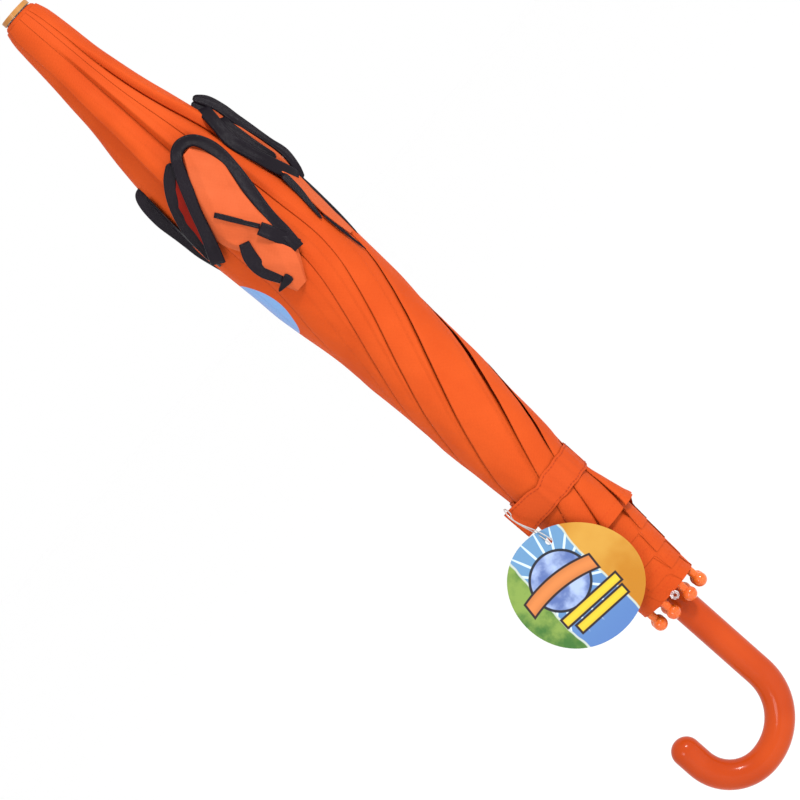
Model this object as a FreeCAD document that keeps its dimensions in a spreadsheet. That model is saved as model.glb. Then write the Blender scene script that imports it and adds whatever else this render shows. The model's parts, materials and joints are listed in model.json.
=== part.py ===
# Children's stick umbrella, furled, as a parametric document.
# Frame: Z runs up the shaft towards the crown, X points away from the hook, -Y is the front.
# The origin is the centre of the hand's grip, on the shaft's axis. Everything is in millimetres.
import FreeCAD
import Part
import math
import os

doc = FreeCAD.newDocument("umbrella")

# Driving dimensions --------------------------------------------------------------------------
dims = doc.addObject("Spreadsheet::Sheet", "Dims")
DRIVING = {
    "rib_count": 8, "first_rib_angle": 22.5,
    "shaft_radius": 4.0, "shaft_wall": 0.7, "shaft_bottom": -18.0, "shaft_top": 512.0,
    "crown_height": 507.0, "pivot_circle": 8.0, "joint_spacing": 205.0, "rib_reach": 475.0,
    "rod_offset": 4.0, "rod_start": 7.0, "tip_offset": 9.6, "rod_radius": 1.0,
    "leaf_thickness": 1.6, "eye_radius": 2.0, "wire_radius": 0.5, "wire_clearance": 0.12,
    "rivet_radius": 0.5, "rivet_clearance": 0.06, "stretcher_width": 2.0, "ear_gap": 0.12,
    "ear_thickness": 0.7, "ear_height": 4.0, "web_start": 4.2, "stretcher_radius": 0.9,
    "ball_radius": 4.1, "neck_radius": 2.3, "neck_length": 8.0, "rod_in_ball": 2.0,
    "hub_radius": 10.5, "hub_height": 8.0, "slot_width": 2.0, "slot_floor": 5.8,
    "sleeve_radius": 5.6, "sleeve_length": 34.0, "runner_clearance": 0.08,
    "key_width": 2.2, "key_reach": 7.2,
    "catch_thickness": 1.6, "catch_reach": 6.3, "catch_root": 2.5, "catch_length": 12.0,
    "upper_catch_bottom": 262.0, "lower_catch_bottom": 103.0,
    "grip_radius": 8.6, "grip_top": 43.0, "hook_start": -27.5, "near_bend": 34.7,
    "far_bend": 25.3, "hook_tip": -27.0, "pin_height": 30.0, "pin_radius": 1.0,
    "press_fit": 0.02, "notch_fit": 0.03, "groove_fit": 0.05, "washer_fit": 0.1,
    "window_side_fit": 0.2, "window_end_fit": 0.3, "pin_inset": 0.5, "stem_overlap": 9.0,
    "rivet_head": 0.3, "tail_overlap": 0.2, "eyelet_inset": 2.5, "eyelet_drop": 3.5,
    "cap_radius": 9.45, "cap_thickness": 2.8, "cap_top": 521.0, "stem_radius": 2.6,
    "washer_radius": 8.6, "washer_thickness": 0.5,
    "fabric": 0.5, "seam_gap": 0.3, "crown_hole": 3.2, "crown_edge": 9.6, "crown_round": 2.2,
    "crown_fabric": 516.9,
    "shoulder_radius": 15.7, "shoulder_height": 489.0, "upper_radius": 24.0,
    "upper_height": 430.0, "belly_radius": 33.0, "belly_height": 356.0,
    "lower_radius": 28.3, "lower_height": 249.0, "waist_radius": 21.8, "waist_height": 129.0,
    "flare_radius": 26.5, "flare_height": 92.0, "hem_radius": 22.0, "hem_height": 43.0,
    "strap_radius": 24.2, "strap_thickness": 1.0, "strap_width": 18.0, "strap_arc": 104.0,
    "strap_gap": 1.0, "strap_root": 202.5, "tail_length": 22.0, "tail_hole": 1.2,
    "tag_width": 75.0, "tag_height": 75.0, "tag_thickness": 0.5, "tag_x": -32.0,
    "tag_y": -30.5, "tag_z": 79.0, "tag_hole_x": -23.0, "tag_hole_z": 111.0,
    "tag_hole_radius": 2.0, "loop_radius": 0.35,
    "fin_thickness": 1.0, "fin_stand_off": 1.0,
    "front_fin_width": 34.0, "front_fin_height": 96.0, "front_fin_top": 405.0,
    "side_fin_width": 26.0, "side_fin_height": 70.0, "side_fin_top": 412.0,
}
for row, (alias, value) in enumerate(DRIVING.items(), start=1):
    dims.set("A%d" % row, alias)
    dims.set("B%d" % row, repr(value))
    dims.setAlias("B%d" % row, alias)
doc.recompute()

COUNT = int(dims.rib_count)
ALONG_X = FreeCAD.Rotation(FreeCAD.Vector(0, 1, 0), 90)
ALONG_Y = FreeCAD.Rotation(FreeCAD.Vector(1, 0, 0), -90)
UPRIGHT = FreeCAD.Rotation()
nodes = []


def with_sheet(expression):
    """Write the sheet's name in front of every alias of an expression."""
    words = []
    word = ""
    for letter in expression + " ":
        if letter.isalnum() or letter == "_":
            word += letter
            continue
        words.append("Dims." + word if word in DRIVING else word)
        words.append(letter)
        word = ""
    return "".join(words).strip()


def bind(thing, **sizes):
    """Bind properties to expressions of the sheet's aliases."""
    for name, expression in sizes.items():
        thing.setExpression(name, with_sheet(expression))
    return thing


def place(thing, x="0", y="0", z="0", turn=UPRIGHT):
    """Turn an object, and bind where its own origin goes."""
    thing.Placement = FreeCAD.Placement(FreeCAD.Vector(0, 0, 0), turn)
    for axis, expression in (("x", x), ("y", y), ("z", z)):
        thing.setExpression(".Placement.Base." + axis, "(" + with_sheet(expression) + ") * 1 mm")
    return thing


def cylinder(name, radius, height, x="0", y="0", z="0", turn=UPRIGHT):
    made = doc.addObject("Part::Cylinder", name)
    bind(made, Radius=radius, Height=height)
    return place(made, x, y, z, turn)


def box(name, length, width, height, x="0", y="0", z="0", turn=UPRIGHT):
    made = doc.addObject("Part::Box", name)
    bind(made, Length=length, Width=width, Height=height)
    return place(made, x, y, z, turn)


def ball(name, radius, x="0", y="0", z="0"):
    made = doc.addObject("Part::Sphere", name)
    bind(made, Radius=radius)
    return place(made, x, y, z)


def ring(name, circle, wire, z="0"):
    made = doc.addObject("Part::Torus", name)
    bind(made, Radius1=circle, Radius2=wire)
    return place(made, z=z)


def fuse(name, *pieces):
    made = doc.addObject("Part::MultiFuse", name)
    made.Shapes = list(pieces)
    return made


def cut(name, base, *tools):
    made = doc.addObject("Part::Cut", name)
    made.Base = base
    made.Tool = tools[0] if len(tools) == 1 else fuse(name + "_cutters", *tools)
    return made


def node(thing, label):
    """Name a finished sub-part and keep it for writing."""
    thing.Label = label
    nodes.append(thing)
    return thing


def rib_angle(number):
    return float(dims.first_rib_angle) + 360.0 / COUNT * (number - 1)


def on_rib(thing, number, drop="0"):
    """Move a piece from the local frame of a rib's pivot to its place round the crown."""
    angle = rib_angle(number)
    turn = FreeCAD.Rotation(FreeCAD.Vector(0, 0, 1), angle)
    across = "pivot_circle * cos(%s deg)" % angle
    back = "pivot_circle * sin(%s deg)" % angle
    return place(thing, across, back, "crown_height - " + drop, turn)


# Handle, shaft and crown ---------------------------------------------------------------------
def handle():
    stem = cylinder("grip", "grip_radius", "grip_top - hook_start", z="hook_start")
    near = doc.addObject("Part::Torus", "near_bend_tube")
    bind(near, Radius1="near_bend", Radius2="grip_radius", Angle3="90")
    into_xz = FreeCAD.Rotation(FreeCAD.Vector(1, 0, 0), 90)
    place(near, "-near_bend", z="hook_start", turn=into_xz * FreeCAD.Rotation(-90, 0, 0))
    far = doc.addObject("Part::Torus", "far_bend_tube")
    bind(far, Radius1="far_bend", Radius2="grip_radius", Angle3="90")
    bend_middle = "hook_start - near_bend + far_bend"
    place(far, "-near_bend", z=bend_middle, turn=into_xz * FreeCAD.Rotation(180, 0, 0))
    leg_x = "-near_bend - far_bend"
    leg = cylinder("hook_leg", "grip_radius", "hook_tip - (%s)" % bend_middle, leg_x,
                   z=bend_middle)
    tip = ball("hook_end", "grip_radius", leg_x, z="hook_tip")
    bore = cylinder("handle_bore", "shaft_radius + press_fit", "grip_top - shaft_bottom + 1",
                    z="shaft_bottom")
    pin_hole = cylinder("handle_pin_hole", "pin_radius", "4 * grip_radius", "-2 * grip_radius",
                        z="pin_height", turn=ALONG_X)
    node(cut("handle", fuse("hook", stem, near, far, leg, tip), bore, pin_hole), "handle")


def shaft():
    tube = cylinder("tube", "shaft_radius", "shaft_top - shaft_bottom", z="shaft_bottom")
    hollow = cylinder("tube_hollow", "shaft_radius - shaft_wall", "shaft_top - shaft_bottom + 2",
                      z="shaft_bottom - 1")
    pin_hole = cylinder("tube_pin_hole", "pin_radius", "4 * grip_radius", "-2 * grip_radius",
                        z="pin_height", turn=ALONG_X)
    windows = []
    for name in ("upper", "lower"):
        windows.append(box(name + "_window", "catch_thickness + 2 * window_side_fit",
                           "2 * shaft_radius", "catch_length + 2 * window_end_fit",
                           "-catch_thickness / 2 - window_side_fit", "-2 * shaft_radius",
                           name + "_catch_bottom - window_end_fit"))
    node(cut("shaft_tube", tube, hollow, pin_hole, *windows), "shaft_tube")


def handle_pin():
    pin = cylinder("pin", "pin_radius", "2 * (grip_radius - pin_inset)", "pin_inset - grip_radius",
                   z="pin_height", turn=ALONG_X)
    node(pin, "handle_pin")


def slots(name, height, width, bottom):
    """Eight radial slots, one for each rib or stretcher."""
    made = []
    for number in range(1, COUNT + 1):
        turn = FreeCAD.Rotation(FreeCAD.Vector(0, 0, 1), rib_angle(number))
        angle = rib_angle(number)
        slot = box("%s_slot_%d" % (name, number), "hub_radius", width, height, turn=turn)
        place(slot, "slot_floor * cos({0} deg) + {1} / 2 * sin({0} deg)".format(angle, width),
              "slot_floor * sin({0} deg) - {1} / 2 * cos({0} deg)".format(angle, width),
              bottom, turn)
        made.append(slot)
    return made


def top_notch():
    bottom = "crown_height - hub_height / 2"
    hub = cylinder("notch_hub", "hub_radius", "hub_height", z=bottom)
    bore = cylinder("notch_bore", "shaft_radius + notch_fit", "hub_height + 2", z=bottom + " - 1")
    groove = ring("notch_groove", "pivot_circle", "wire_radius + groove_fit", "crown_height")
    cuts = slots("notch", "hub_height + 2", "slot_width", bottom + " - 1")
    node(cut("top_notch", hub, bore, groove, *cuts), "top_notch")
    node(ring("crown_wire", "pivot_circle", "wire_radius", "crown_height"), "crown_wire")


def top_cap():
    disc = cylinder("cap_disc", "cap_radius", "cap_thickness", z="cap_top - cap_thickness")
    stem = cylinder("cap_stem", "stem_radius", "cap_top - shaft_top + stem_overlap - 1",
                    z="shaft_top - stem_overlap")
    node(fuse("top_cap", disc, stem), "top_cap")
    under = "cap_top - cap_thickness - washer_thickness"
    washer = cylinder("washer_disc", "washer_radius", "washer_thickness", z=under)
    hole = cylinder("washer_hole", "stem_radius + washer_fit", "washer_thickness + 2", z=under + " - 1")
    node(cut("cap_washer", washer, hole), "cap_washer")


# Ribs, stretchers and runner -----------------------------------------------------------------
def rib(number):
    """A wire rib: a flat eye on the crown wire, a straight rod and a clevis for its stretcher."""
    mark = "rib_%d_" % number
    lean = math.degrees(math.atan2(dims.rod_offset, dims.rod_start))
    splay = math.degrees(math.atan2(dims.tip_offset - dims.rod_offset,
                                    dims.rib_reach - dims.rod_start))
    half_leaf = "-leaf_thickness / 2"
    eye = cylinder(mark + "eye", "eye_radius", "leaf_thickness", y=half_leaf, turn=ALONG_Y)
    hanging = FreeCAD.Rotation(FreeCAD.Vector(0, 1, 0), 180 - lean)
    leaf = box(mark + "leaf", "eye_radius", "leaf_thickness", "rod_start + 2", turn=hanging)
    place(leaf, "eye_radius / 2 * cos(%s deg)" % lean, half_leaf,
          "eye_radius / 2 * sin(%s deg)" % lean, hanging)
    outward = FreeCAD.Rotation(FreeCAD.Vector(0, 1, 0), 180 - splay)
    rod = cylinder(mark + "rod", "rod_radius",
                   "(rib_reach - rod_start - rod_in_ball) / cos(%s deg)" % splay,
                   "rod_offset", z="-rod_start", turn=outward)
    rod_at_joint = "(rod_offset + (joint_spacing - rod_start) * tan(%s deg))" % splay
    outer = "stretcher_width / 2 + ear_gap + ear_thickness"
    web = box(mark + "web", rod_at_joint + " - web_start", "2 * (%s)" % outer, "ear_height",
              "web_start", "-(%s)" % outer, "-joint_spacing - ear_height / 2")
    ears = []
    for side, start in (("left", "-(%s)" % outer), ("right", "stretcher_width / 2 + ear_gap")):
        ears.append(box(mark + side + "_ear", "web_start + 0.5", "ear_thickness", "ear_height",
                        "0", start, "-joint_spacing - ear_height / 2"))
        ears.append(cylinder(mark + side + "_ear_end", "ear_height / 2", "ear_thickness",
                             "0", start, "-joint_spacing", ALONG_Y))
    eye_hole = cylinder(mark + "eye_hole", "wire_radius + wire_clearance", "4 * eye_radius",
                        y="-2 * eye_radius", turn=ALONG_Y)
    ear_hole = cylinder(mark + "ear_hole", "rivet_radius", "4 * eye_radius", "0",
                        "-2 * eye_radius", "-joint_spacing", ALONG_Y)
    solid = fuse(mark + "solid", eye, leaf, rod, web, *ears)
    node(on_rib(cut("rib_%d" % number, solid, eye_hole, ear_hole), number), "rib_%d" % number)

    pin = cylinder(mark + "rivet_pin", "rivet_radius", "2 * (%s)" % outer, "0",
                   "-(%s)" % outer, turn=ALONG_Y)
    heads = []
    for side, start in (("left", "-(%s) - rivet_head" % outer), ("right", outer)):
        heads.append(cylinder(mark + side + "_head", "2 * rivet_radius", "rivet_head", "0",
                              start, turn=ALONG_Y))
    rivet = fuse(mark + "rivet", pin, *heads)
    node(on_rib(rivet, number, "joint_spacing"), "rivet_%d" % number)

    sphere = ball(mark + "ball", "ball_radius")
    neck = cylinder(mark + "neck", "neck_radius", "neck_length")
    bore = cylinder(mark + "ball_bore", "rod_radius + press_fit",
                    "neck_length + rod_in_ball + 2",
                    z="-rod_in_ball - 0.5")
    tip = cut("tip_%d" % number, fuse(mark + "tip_solid", sphere, neck), bore)
    upright = FreeCAD.Rotation(FreeCAD.Vector(0, 1, 0), -splay)
    angle = rib_angle(number)
    turn = FreeCAD.Rotation(FreeCAD.Vector(0, 0, 1), angle) * upright
    place(tip, "(pivot_circle + tip_offset) * cos(%s deg)" % angle,
          "(pivot_circle + tip_offset) * sin(%s deg)" % angle, "crown_height - rib_reach", turn)
    node(tip, "rib_tip_%d" % number)


def stretcher(number):
    """A thin bar from the rib's clevis to the runner's wire."""
    mark = "stretcher_%d_" % number
    top = cylinder(mark + "top", "eye_radius - 0.5", "stretcher_width",
                   y="-stretcher_width / 2", turn=ALONG_Y)
    bar = cylinder(mark + "bar", "stretcher_radius", "joint_spacing - 2", z="-joint_spacing + 1")
    foot = cylinder(mark + "foot", "eye_radius", "leaf_thickness", "0", "-leaf_thickness / 2",
                    "-joint_spacing", ALONG_Y)
    rivet_hole = cylinder(mark + "rivet_hole", "rivet_radius + rivet_clearance",
                          "4 * eye_radius", y="-2 * eye_radius", turn=ALONG_Y)
    wire_hole = cylinder(mark + "wire_hole", "wire_radius + wire_clearance", "4 * eye_radius",
                         "0", "-2 * eye_radius", "-joint_spacing", ALONG_Y)
    whole = cut("stretcher_%d" % number, fuse(mark + "solid", top, bar, foot), rivet_hole,
                wire_hole)
    node(on_rib(whole, number, "joint_spacing"), "stretcher_%d" % number)


def runner():
    middle = "(crown_height - 2 * joint_spacing)"
    bottom = middle + " - hub_height / 2"
    hub = cylinder("runner_hub", "hub_radius", "hub_height", z=bottom)
    sleeve = cylinder("runner_sleeve", "sleeve_radius", "sleeve_length",
                      z=middle + " + hub_height / 2 - sleeve_length")
    bore = cylinder("runner_bore", "shaft_radius + runner_clearance", "3 * sleeve_length",
                    z=middle + " - 2 * sleeve_length")
    groove = ring("runner_groove", "pivot_circle", "wire_radius + groove_fit", middle)
    key = box("runner_keyway", "key_width", "key_reach", "3 * sleeve_length", "-key_width / 2",
              "-key_reach", middle + " - 2 * sleeve_length")
    cuts = slots("runner", "hub_height + 2", "slot_width", bottom + " - 1")
    node(cut("runner", fuse("runner_solid", hub, sleeve), bore, groove, key, *cuts), "runner")
    node(ring("runner_wire", "pivot_circle", "wire_radius", middle), "runner_wire")


def catch(name):
    """A spring catch: a thin wedge that stands out of the tube's window at the front."""
    body = doc.addObject("PartDesign::Body", name + "_catch_body")
    sketch = body.newObject("Sketcher::SketchObject", name + "_catch_outline")
    side = [f for f in body.Origin.OriginFeatures if f.Role == "YZ_Plane"][0]
    sketch.AttachmentSupport = (side, [""])
    sketch.MapMode = "FlatFace"
    root, reach, length = float(dims.catch_root), float(dims.catch_reach), float(dims.catch_length)
    ledge = length if name == "upper" else 0
    corners = [FreeCAD.Vector(-root, 0, 0), FreeCAD.Vector(-root, length, 0),
               FreeCAD.Vector(-reach, ledge, 0)]
    for a, b in zip(corners, corners[1:] + corners[:1]):
        sketch.addGeometry(Part.LineSegment(a, b), False)
    pad = body.newObject("PartDesign::Pad", name + "_catch_pad")
    pad.Profile = sketch
    bind(pad, Length="catch_thickness")
    pad.Midplane = True
    place(body, z=name + "_catch_bottom")
    node(body, name + "_catch")


# Canopy --------------------------------------------------------------------------------------
def canopy_profile():
    """The half section of the furled canopy: a fabric-thick band from the crown to the hem."""
    fabric = float(dims.fabric)
    stations = [(dims.shoulder_radius, dims.shoulder_height), (dims.upper_radius, dims.upper_height),
                (dims.belly_radius, dims.belly_height), (dims.lower_radius, dims.lower_height),
                (dims.waist_radius, dims.waist_height), (dims.flare_radius, dims.flare_height),
                (dims.hem_radius, dims.hem_height)]
    edge, top, bend = float(dims.crown_edge), float(dims.crown_fabric), float(dims.crown_round)

    def side(inset):
        points = [FreeCAD.Vector(edge + bend - inset, 0, top - bend)]
        for radius, height in stations:
            points.append(FreeCAD.Vector(float(radius) - inset, 0, float(height)))
        curve = Part.BSplineCurve()
        curve.interpolate(points)
        return curve.toShape(), points

    outer, outer_points = side(0)
    inner, inner_points = side(fabric)
    hole = float(dims.crown_hole)
    roof = [FreeCAD.Vector(edge, 0, top), FreeCAD.Vector(hole, 0, top),
            FreeCAD.Vector(hole, 0, top - fabric), FreeCAD.Vector(edge - 0.1, 0, top - fabric)]
    corners = [outer_points[0]] + roof + [inner_points[0]]
    lines = [Part.makeLine(a, b) for a, b in zip(corners, corners[1:])]
    hem = Part.makeLine(inner_points[-1], outer_points[-1])
    edges = Part.sortEdges([outer, inner, hem] + lines)[0]
    return Part.Face(Part.Wire(edges))


def panels():
    profile = canopy_profile()
    step = 360.0 / COUNT
    gap = math.degrees(float(dims.seam_gap) / float(dims.belly_radius))
    for number in range(1, COUNT + 1):
        start = rib_angle(number) + gap / 2
        face = profile.copy()
        face.rotate(FreeCAD.Vector(0, 0, 0), FreeCAD.Vector(0, 0, 1), start)
        panel = doc.addObject("Part::Feature", "panel_%d" % number)
        panel.Shape = face.revolve(FreeCAD.Vector(0, 0, 0), FreeCAD.Vector(0, 0, 1), step - gap)
        node(panel, "panel_%d" % number)


def arch(name, width, height, top):
    """A plate with a rounded top, standing in the plane x = 0 of its own frame."""
    slab = box(name + "_slab", "fin_thickness", width, "%s - %s / 2" % (height, width), "0",
               "-%s / 2" % width, "%s - %s" % (top, height))
    crest = cylinder(name + "_crest", "%s / 2" % width, "fin_thickness", "0", "0",
                     "%s - %s / 2" % (top, width), ALONG_X)
    return fuse(name, slab, crest)


def fins():
    """Three sewn-on flaps, standing just outside the canopy's belly."""
    for name, size, angle in (("fin_front", "front_fin", 270), ("fin_right", "side_fin", 355),
                              ("fin_left", "side_fin", 190)):
        fin = arch(name, size + "_width", size + "_height", size + "_top")
        turn = FreeCAD.Rotation(FreeCAD.Vector(0, 0, 1), angle)
        place(fin, "(belly_radius + fin_stand_off) * cos(%d deg)" % angle,
              "(belly_radius + fin_stand_off) * sin(%d deg)" % angle, "0", turn)
        node(fin, name)


# Strap and tag -------------------------------------------------------------------------------
def strap():
    """The tie strap in three arcs round the waist, the last with a straight tail."""
    arc = float(dims.strap_arc)
    gap = math.degrees(float(dims.strap_gap) / float(dims.strap_radius))
    bottom = "waist_height - strap_width / 2"
    for number in range(1, 4):
        end = float(dims.strap_root) - arc * (number - 1) - gap / 2
        start = end - arc + gap
        name = "strap_%d" % number
        solids = []
        for part_name, radius in (("outer", "strap_radius + strap_thickness"),
                                  ("inner", "strap_radius")):
            sector = cylinder("%s_%s" % (name, part_name), radius, "strap_width", z=bottom)
            sector.Angle = arc - gap
            turn = FreeCAD.Rotation(FreeCAD.Vector(0, 0, 1), start)
            solids.append(place(sector, z=bottom, turn=turn))
        band = cut(name + "_band", *solids)
        if number == 3:
            band = tail(band, start, bottom)
        node(band, name)


def tail(band, start, bottom):
    """Add the free end, which leaves the band along its tangent and carries the tag's loop."""
    turn = FreeCAD.Rotation(FreeCAD.Vector(0, 0, 1), start - 90)
    free = box("tail_flap", "tail_length + tail_overlap", "strap_thickness", "strap_width", turn=turn)
    place(free, "strap_radius * cos({0} deg) - tail_overlap * sin({0} deg)".format(start),
          "strap_radius * sin({0} deg) + tail_overlap * cos({0} deg)".format(start), bottom, turn)
    reach = "(tail_length - eyelet_inset)"
    hole = cylinder("tail_eyelet", "tail_hole", "6 * strap_thickness")
    across = FreeCAD.Rotation(FreeCAD.Vector(0, 0, 1), start) * ALONG_X
    middle = "(strap_radius - 2 * strap_thickness)"
    place(hole, "{1} * cos({0} deg) + {2} * sin({0} deg)".format(start, middle, reach),
          "{1} * sin({0} deg) - {2} * cos({0} deg)".format(start, middle, reach),
          "waist_height + strap_width / 2 - eyelet_drop", across)
    return cut("strap_3", fuse("strap_3_solid", band, free), hole)


def tag():
    plate = cylinder("tag_disc", "tag_width / 2", "tag_thickness", "tag_x",
                     "tag_y - tag_thickness / 2", "tag_z", ALONG_Y)
    hole = cylinder("tag_hole", "tag_hole_radius", "6 * tag_thickness", "tag_hole_x",
                    "tag_y - 3 * tag_thickness", "tag_hole_z", ALONG_Y)
    node(cut("tag", plate, hole), "tag")


def tube_along(route, radius):
    """A round tube along straight runs joined by tangent arcs."""
    edges = []
    here = route[0]
    for before, corner, after in zip(route, route[1:], route[2:]):
        back, ahead = before - corner, after - corner
        half_turn = (math.pi - back.getAngle(ahead)) / 2
        shorter = min(back.Length, ahead.Length)
        cut_back = 0.45 * shorter
        enter = corner + back.normalize() * cut_back
        leave = corner + ahead.normalize() * cut_back
        inward = (enter + leave) * 0.5 - corner
        reach = cut_back * math.tan(half_turn / 2)
        middle = corner + inward.normalize() * reach
        edges.append(Part.makeLine(here, enter))
        edges.append(Part.Arc(enter, middle, leave).toShape())
        here = leave
    edges.append(Part.makeLine(here, route[-1]))
    path = Part.Wire(edges)
    circle = Part.Wire(Part.makeCircle(radius, route[0], route[1] - route[0]))
    pipe = path.makePipeShell([circle], True, True)
    expected = math.pi * radius ** 2 * path.Length
    if abs(pipe.Volume - expected) > 0.03 * expected:
        raise ValueError("the loop's tube has the wrong volume")
    return pipe


def tag_loop():
    """A clear filament from the tag's hole up over the tail's top edge, through its eyelet."""
    top = dims.waist_height + dims.strap_width / 2
    hole = FreeCAD.Vector(dims.tag_hole_x, dims.tag_y, dims.tag_hole_z)
    start = math.radians(dims.strap_root - 3 * dims.strap_arc + 0.5 * math.degrees(
        dims.strap_gap / dims.strap_radius))
    out = FreeCAD.Vector(math.cos(start), math.sin(start), 0)
    along = FreeCAD.Vector(math.sin(start), -math.cos(start), 0)
    eyelet = out * (dims.strap_radius + dims.strap_thickness / 2)
    eyelet = eyelet + along * (dims.tail_length - dims.eyelet_inset)
    eyelet = eyelet + FreeCAD.Vector(0, 0, top - dims.eyelet_drop)
    route = [
        hole + FreeCAD.Vector(-0.5, -1.6, -1.2),
        hole + FreeCAD.Vector(-0.4, -2.6, 4.0),
        eyelet + out * 4.0 + FreeCAD.Vector(0, 0, -4.0),
        eyelet + out * 2.2,
        eyelet - out * 2.2,
        eyelet - out * 1.8 + FreeCAD.Vector(0, 0, 5.0),
        eyelet + out * 2.4 + FreeCAD.Vector(0, 0, 5.2),
        eyelet + out * 5.5 + FreeCAD.Vector(0, 0, -3.0),
        hole + FreeCAD.Vector(1.6, -4.6, 4.5),
        hole + FreeCAD.Vector(1.4, -1.8, -0.6),
    ]
    loop = doc.addObject("Part::Feature", "tag_loop")
    loop.Shape = tube_along(route, float(dims.loop_radius))
    node(loop, "tag_loop")


handle()
shaft()
handle_pin()
top_notch()
top_cap()
for rib_number in range(1, COUNT + 1):
    rib(rib_number)
    stretcher(rib_number)
runner()
catch("upper")
catch("lower")
panels()
fins()
strap()
tag()
tag_loop()

doc.recompute()
for thing in doc.Objects:
    if "Invalid" in thing.State or "Error" in thing.State:
        raise ValueError("failed to compute: " + thing.Label)
for thing in nodes:
    if thing.Shape.isNull() or not thing.Shape.isValid():
        raise ValueError("no valid solid: " + thing.Label)
os.makedirs("parts", exist_ok=True)
for thing in nodes:
    thing.Shape.exportStep("parts/%s.step" % thing.Label)
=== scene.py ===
# A child's furled stick umbrella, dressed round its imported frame. Metres; Z runs up the shaft,
# -Y is the front, and the hook points to -X.
import json
import math

import bmesh
import bpy
import numpy as np
from mathutils import Matrix, Vector

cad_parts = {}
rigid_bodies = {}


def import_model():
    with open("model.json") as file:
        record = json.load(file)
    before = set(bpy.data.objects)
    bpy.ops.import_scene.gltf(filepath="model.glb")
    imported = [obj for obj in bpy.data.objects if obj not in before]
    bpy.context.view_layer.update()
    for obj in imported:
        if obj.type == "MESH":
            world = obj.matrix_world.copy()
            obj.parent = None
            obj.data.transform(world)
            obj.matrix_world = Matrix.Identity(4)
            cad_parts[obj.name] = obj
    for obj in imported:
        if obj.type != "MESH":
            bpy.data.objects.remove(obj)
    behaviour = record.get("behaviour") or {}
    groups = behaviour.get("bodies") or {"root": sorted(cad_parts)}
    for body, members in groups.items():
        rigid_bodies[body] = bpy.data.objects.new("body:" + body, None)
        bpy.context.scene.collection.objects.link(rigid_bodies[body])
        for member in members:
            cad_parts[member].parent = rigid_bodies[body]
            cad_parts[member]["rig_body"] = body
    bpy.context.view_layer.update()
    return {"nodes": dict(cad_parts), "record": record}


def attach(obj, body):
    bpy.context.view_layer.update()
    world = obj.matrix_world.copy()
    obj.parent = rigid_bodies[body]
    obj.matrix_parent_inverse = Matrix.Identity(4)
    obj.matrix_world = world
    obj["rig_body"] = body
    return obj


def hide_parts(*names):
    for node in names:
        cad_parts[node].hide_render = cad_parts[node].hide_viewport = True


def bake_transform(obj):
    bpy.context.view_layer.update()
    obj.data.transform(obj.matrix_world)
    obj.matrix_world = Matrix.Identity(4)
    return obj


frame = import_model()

MM = 0.001
GORES = 8
GORE_STEP = 45.0
FIRST_RIB = 22.5
CROWN_Z = 507.0

scene = bpy.context.scene
scene.view_settings.view_transform = "Standard"


# Small tools ---------------------------------------------------------------------------------
def smooth(x, low, high):
    """0 below low, 1 above high, and an even ramp between."""
    t = np.clip((np.asarray(x, float) - low) / (high - low), 0, 1)
    return t * t * (3 - 2 * t)


def bump(x, centre, width):
    """1 at the centre, falling to 0 a width away."""
    return np.exp(-((np.asarray(x, float) - centre) / width) ** 2)


def through(z, stations):
    """A smooth value of height from (height, value) stations, highest first."""
    heights = np.array([s[0] for s in stations], float)[::-1]
    values = np.array([s[1] for s in stations], float)[::-1]
    slopes = np.gradient(values, heights)
    z = np.clip(np.asarray(z, float), heights[0], heights[-1])
    i = np.clip(np.searchsorted(heights, z) - 1, 0, len(heights) - 2)
    span = heights[i + 1] - heights[i]
    t = (z - heights[i]) / span
    return (values[i] * (2 * t ** 3 - 3 * t ** 2 + 1)
            + slopes[i] * span * (t ** 3 - 2 * t ** 2 + t)
            + values[i + 1] * (3 * t ** 2 - 2 * t ** 3)
            + slopes[i + 1] * span * (t ** 3 - t ** 2))


def new_object(name, verts, faces, material, shade=True):
    """A mesh object at the origin, its points given in millimetres."""
    mesh = bpy.data.meshes.new(name)
    mesh.from_pydata([tuple(MM * c for c in v) for v in verts], [], faces)
    mesh.materials.append(material)
    if shade:
        mesh.polygons.foreach_set("use_smooth", [True] * len(mesh.polygons))
    made = bpy.data.objects.new(name, mesh)
    scene.collection.objects.link(made)
    return made


def grid_faces(rows, columns, closed=False):
    """Faces of a grid of points laid row by row."""
    faces = []
    for r in range(rows - 1):
        for c in range(columns if closed else columns - 1):
            d = (c + 1) % columns
            faces.append((r * columns + c, (r + 1) * columns + c,
                          (r + 1) * columns + d, r * columns + d))
    return faces


def set_uv(made, across, along):
    """Fabric coordinates in metres as the piece's UV map."""
    layer = made.data.uv_layers.new(name="Cloth")
    corner = np.empty(len(made.data.loops), int)
    made.data.loops.foreach_get("vertex_index", corner)
    uv = np.stack([np.asarray(across)[corner], np.asarray(along)[corner]], 1)
    layer.data.foreach_set("uv", (uv * MM).astype(np.float32).ravel())


def set_value(made, name, values):
    """A float for each point of a piece, which its material can read."""
    attribute = made.data.attributes.new(name, "FLOAT", "POINT")
    attribute.data.foreach_set("value", np.asarray(values, np.float32))


def normals_outside(made):
    work = bmesh.new()
    work.from_mesh(made.data)
    bmesh.ops.remove_doubles(work, verts=work.verts, dist=1e-7)
    bmesh.ops.recalc_face_normals(work, faces=work.faces)
    work.to_mesh(made.data)
    work.free()


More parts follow.
